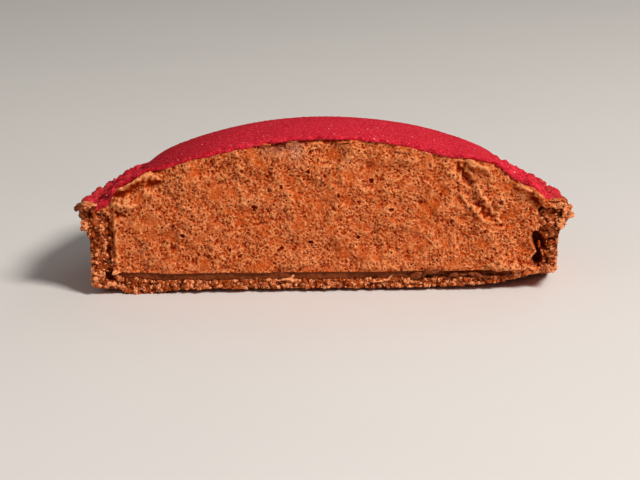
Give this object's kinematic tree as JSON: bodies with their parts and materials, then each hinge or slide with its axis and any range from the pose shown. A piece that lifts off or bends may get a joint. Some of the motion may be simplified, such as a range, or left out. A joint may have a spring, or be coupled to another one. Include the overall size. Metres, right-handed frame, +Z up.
{
  "type": "chocolate tart",
  "caption": "Cut part of a small round tart: crumbly dark pastry shell, thin ganache, airy chocolate mousse and a domed red velvet skin.",
  "frame": {"origin": "on the axis of the round tart, at its flat underside", "axes": "+Z up along the tart's axis, the upright cut face looks along -Y, +X along the cut"},
  "size_m": [0.0942, 0.0563, 0.0302],
  "materials": {
    "pastry": "crumbly baked chocolate pastry, dry and rough, paler along broken edges",
    "ganache": "smooth dark chocolate cream, half gloss where it is cut",
    "mousse": "torn airy milk chocolate mousse full of fine pores, slightly moist",
    "red_velvet": "sprayed cocoa butter, soft and matt like velvet, with grains round the edge"
  },
  "bodies": {
    "root": {"pastry_shell": "pastry", "ganache_layer": "ganache", "mousse_filling": "mousse", "velvet_skin": "red_velvet"}
  },
  "joints": []
}
